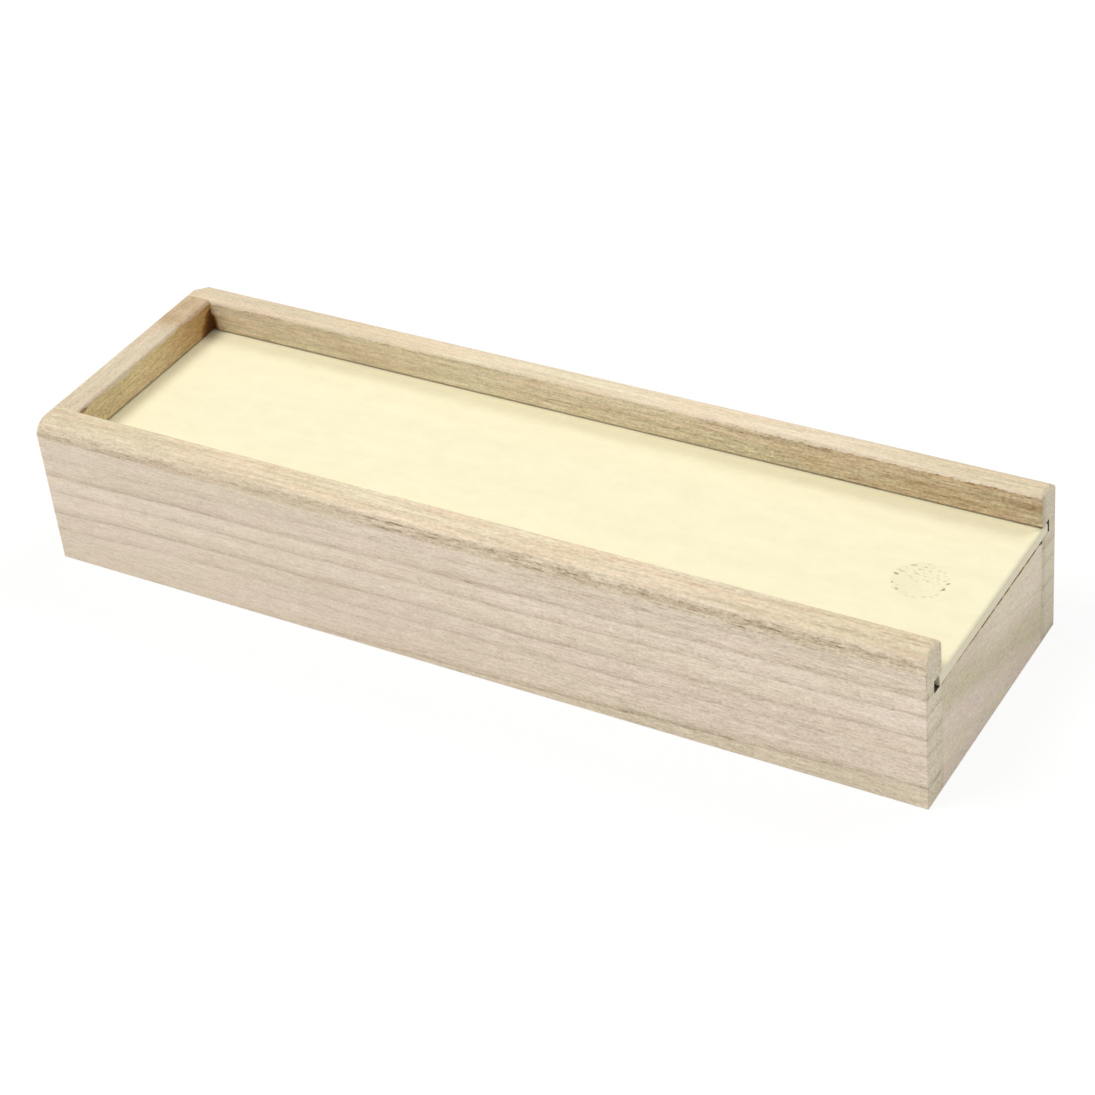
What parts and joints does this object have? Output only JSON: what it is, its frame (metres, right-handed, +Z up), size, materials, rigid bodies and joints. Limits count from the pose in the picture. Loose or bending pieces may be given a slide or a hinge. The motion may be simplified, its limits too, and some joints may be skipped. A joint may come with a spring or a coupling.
{
  "type": "pencil box",
  "caption": "Long shallow timber pencil box with a thin plywood lid that slides in grooves and draws out over a low end wall.",
  "frame": {"origin": "middle of the underside", "axes": "+X along the box toward the end that the lid draws out of, +Y across to the back wall, +Z up"},
  "size_m": [0.2, 0.06, 0.035],
  "materials": {
    "solid_timber": "bare sanded paulownia",
    "bottom_plywood": "bare sanded plywood",
    "lid_plywood": "bare sanded plywood, pale face veneer"
  },
  "bodies": {
    "box": {"front_side": "solid_timber", "back_side": "solid_timber", "closed_end": "solid_timber", "open_end": "solid_timber", "bottom_panel": "bottom_plywood"},
    "lid": {"lid": "lid_plywood"}
  },
  "joints": [
    {"name": "lid_slide", "type": "slide", "parent": "box", "child": "lid", "axis": [1, 0, 0], "range_m": [0, 0.2]}
  ]
}
